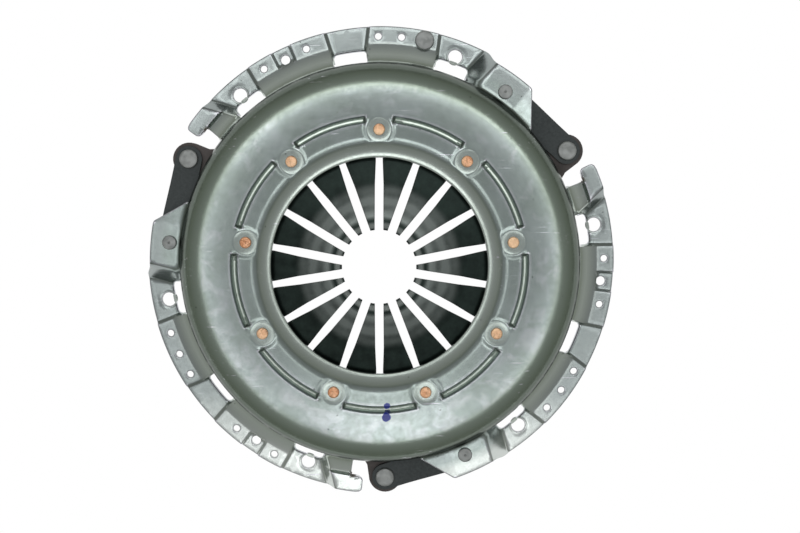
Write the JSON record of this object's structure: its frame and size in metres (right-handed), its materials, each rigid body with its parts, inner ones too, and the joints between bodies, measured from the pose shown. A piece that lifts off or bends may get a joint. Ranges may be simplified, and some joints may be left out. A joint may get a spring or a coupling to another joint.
{
  "type": "clutch pressure plate",
  "caption": "Diaphragm spring clutch cover with a pressed steel housing, a cast pressure plate, drive straps and fingers that release it.",
  "frame": {"origin": "centre of the bolt circle, in the plane of the bolt pads that seat on the flywheel", "axes": "+Z along the shaft axis, from the flywheel to the gearbox; one bolt hole lies 10 degrees from +X towards +Y"},
  "size_m": [0.3586, 0.3571, 0.0549],
  "materials": {
    "cover_steel": "pressed steel, oiled and lightly scuffed",
    "spring_steel": "hardened spring steel with a dark oxide skin",
    "copper_plate": "copper plated rivet steel",
    "rivet_steel": "upset steel rivets, dull grey",
    "strap_steel": "blued spring steel strip",
    "wire_steel": "drawn spring wire",
    "cast_iron": "grey iron, as cast with a machined friction face"
  },
  "bodies": {
    "cover_assembly": {"cover": "cover_steel", "fulcrum_rivets": "copper_plate", "fulcrum_wire_ring": "wire_steel", "strap_rivets": "rivet_steel", "balance_rivet": "rivet_steel", "drive_strap_1_lower": "strap_steel", "drive_strap_1_middle": "strap_steel", "drive_strap_1_upper": "strap_steel", "drive_strap_2_lower": "strap_steel", "drive_strap_2_middle": "strap_steel", "drive_strap_2_upper": "strap_steel", "drive_strap_3_lower": "strap_steel", "drive_strap_3_middle": "strap_steel", "drive_strap_3_upper": "strap_steel"},
    "pressure_plate": {"pressure_plate": "cast_iron", "lug_rivets": "rivet_steel"},
    "finger_01": {"diaphragm_finger_01": "spring_steel"},
    "finger_02": {"diaphragm_finger_02": "spring_steel"},
    "finger_03": {"diaphragm_finger_03": "spring_steel"},
    "finger_04": {"diaphragm_finger_04": "spring_steel"},
    "finger_05": {"diaphragm_finger_05": "spring_steel"},
    "finger_06": {"diaphragm_finger_06": "spring_steel"},
    "finger_07": {"diaphragm_finger_07": "spring_steel"},
    "finger_08": {"diaphragm_finger_08": "spring_steel"},
    "finger_09": {"diaphragm_finger_09": "spring_steel"},
    "finger_10": {"diaphragm_finger_10": "spring_steel"},
    "finger_11": {"diaphragm_finger_11": "spring_steel"},
    "finger_12": {"diaphragm_finger_12": "spring_steel"},
    "finger_13": {"diaphragm_finger_13": "spring_steel"},
    "finger_14": {"diaphragm_finger_14": "spring_steel"},
    "finger_15": {"diaphragm_finger_15": "spring_steel"},
    "finger_16": {"diaphragm_finger_16": "spring_steel"},
    "finger_17": {"diaphragm_finger_17": "spring_steel"},
    "finger_18": {"diaphragm_finger_18": "spring_steel"}
  },
  "joints": [
    {"name": "plate_lift", "type": "slide", "parent": "cover_assembly", "child": "pressure_plate", "axis": [0, 0, 1], "range_m": [0, 0.006], "stiffness_N_per_m": 100000, "springref_m": -0.001, "deforming": ["drive_strap_1_lower", "drive_strap_1_middle", "drive_strap_1_upper", "drive_strap_2_lower", "drive_strap_2_middle", "drive_strap_2_upper", "drive_strap_3_lower", "drive_strap_3_middle", "drive_strap_3_upper"]},
    {"name": "finger_01_tilt", "type": "hinge", "parent": "cover_assembly", "child": "finger_01", "pos_m": [0.10599, 0, 0.03612], "axis": [0, -1, 0], "range_deg": [0, 16.8]},
    {"name": "finger_02_tilt", "type": "hinge", "parent": "cover_assembly", "child": "finger_02", "pos_m": [0.0996, 0.03625, 0.03612], "axis": [0.342, -0.9397, 0], "range_deg": [0, 16.8]},
    {"name": "finger_03_tilt", "type": "hinge", "parent": "cover_assembly", "child": "finger_03", "pos_m": [0.08119, 0.06813, 0.03612], "axis": [0.6428, -0.766, 0], "range_deg": [0, 16.8]},
    {"name": "finger_04_tilt", "type": "hinge", "parent": "cover_assembly", "child": "finger_04", "pos_m": [0.05299, 0.09179, 0.03612], "axis": [0.866, -0.5, 0], "range_deg": [0, 16.8]},
    {"name": "finger_05_tilt", "type": "hinge", "parent": "cover_assembly", "child": "finger_05", "pos_m": [0.01841, 0.10438, 0.03612], "axis": [0.9848, -0.1736, 0], "range_deg": [0, 16.8]},
    {"name": "finger_06_tilt", "type": "hinge", "parent": "cover_assembly", "child": "finger_06", "pos_m": [-0.01841, 0.10438, 0.03612], "axis": [0.9848, 0.1736, 0], "range_deg": [0, 16.8]},
    {"name": "finger_07_tilt", "type": "hinge", "parent": "cover_assembly", "child": "finger_07", "pos_m": [-0.05299, 0.09179, 0.03612], "axis": [0.866, 0.5, 0], "range_deg": [0, 16.8]},
    {"name": "finger_08_tilt", "type": "hinge", "parent": "cover_assembly", "child": "finger_08", "pos_m": [-0.08119, 0.06813, 0.03612], "axis": [0.6428, 0.766, 0], "range_deg": [0, 16.8]},
    {"name": "finger_09_tilt", "type": "hinge", "parent": "cover_assembly", "child": "finger_09", "pos_m": [-0.0996, 0.03625, 0.03612], "axis": [0.342, 0.9397, 0], "range_deg": [0, 16.8]},
    {"name": "finger_10_tilt", "type": "hinge", "parent": "cover_assembly", "child": "finger_10", "pos_m": [-0.10599, 0, 0.03612], "axis": [0, 1, 0], "range_deg": [0, 16.8]},
    {"name": "finger_11_tilt", "type": "hinge", "parent": "cover_assembly", "child": "finger_11", "pos_m": [-0.0996, -0.03625, 0.03612], "axis": [-0.342, 0.9397, 0], "range_deg": [0, 16.8]},
    {"name": "finger_12_tilt", "type": "hinge", "parent": "cover_assembly", "child": "finger_12", "pos_m": [-0.08119, -0.06813, 0.03612], "axis": [-0.6428, 0.766, 0], "range_deg": [0, 16.8]},
    {"name": "finger_13_tilt", "type": "hinge", "parent": "cover_assembly", "child": "finger_13", "pos_m": [-0.05299, -0.09179, 0.03612], "axis": [-0.866, 0.5, 0], "range_deg": [0, 16.8]},
    {"name": "finger_14_tilt", "type": "hinge", "parent": "cover_assembly", "child": "finger_14", "pos_m": [-0.01841, -0.10438, 0.03612], "axis": [-0.9848, 0.1736, 0], "range_deg": [0, 16.8]},
    {"name": "finger_15_tilt", "type": "hinge", "parent": "cover_assembly", "child": "finger_15", "pos_m": [0.01841, -0.10438, 0.03612], "axis": [-0.9848, -0.1736, 0], "range_deg": [0, 16.8]},
    {"name": "finger_16_tilt", "type": "hinge", "parent": "cover_assembly", "child": "finger_16", "pos_m": [0.05299, -0.09179, 0.03612], "axis": [-0.866, -0.5, 0], "range_deg": [0, 16.8]},
    {"name": "finger_17_tilt", "type": "hinge", "parent": "cover_assembly", "child": "finger_17", "pos_m": [0.08119, -0.06813, 0.03612], "axis": [-0.6428, -0.766, 0], "range_deg": [0, 16.8]},
    {"name": "finger_18_tilt", "type": "hinge", "parent": "cover_assembly", "child": "finger_18", "pos_m": [0.0996, -0.03625, 0.03612], "axis": [-0.342, -0.9397, 0], "range_deg": [0, 16.8]}
  ],
  "couplings": [
    {"joint": "finger_01_tilt", "follows": "plate_lift", "rad_per_m": 48.869},
    {"joint": "finger_02_tilt", "follows": "plate_lift", "rad_per_m": 48.869},
    {"joint": "finger_03_tilt", "follows": "plate_lift", "rad_per_m": 48.869},
    {"joint": "finger_04_tilt", "follows": "plate_lift", "rad_per_m": 48.869},
    {"joint": "finger_05_tilt", "follows": "plate_lift", "rad_per_m": 48.869},
    {"joint": "finger_06_tilt", "follows": "plate_lift", "rad_per_m": 48.869},
    {"joint": "finger_07_tilt", "follows": "plate_lift", "rad_per_m": 48.869},
    {"joint": "finger_08_tilt", "follows": "plate_lift", "rad_per_m": 48.869},
    {"joint": "finger_09_tilt", "follows": "plate_lift", "rad_per_m": 48.869},
    {"joint": "finger_10_tilt", "follows": "plate_lift", "rad_per_m": 48.869},
    {"joint": "finger_11_tilt", "follows": "plate_lift", "rad_per_m": 48.869},
    {"joint": "finger_12_tilt", "follows": "plate_lift", "rad_per_m": 48.869},
    {"joint": "finger_13_tilt", "follows": "plate_lift", "rad_per_m": 48.869},
    {"joint": "finger_14_tilt", "follows": "plate_lift", "rad_per_m": 48.869},
    {"joint": "finger_15_tilt", "follows": "plate_lift", "rad_per_m": 48.869},
    {"joint": "finger_16_tilt", "follows": "plate_lift", "rad_per_m": 48.869},
    {"joint": "finger_17_tilt", "follows": "plate_lift", "rad_per_m": 48.869},
    {"joint": "finger_18_tilt", "follows": "plate_lift", "rad_per_m": 48.869}
  ]
}
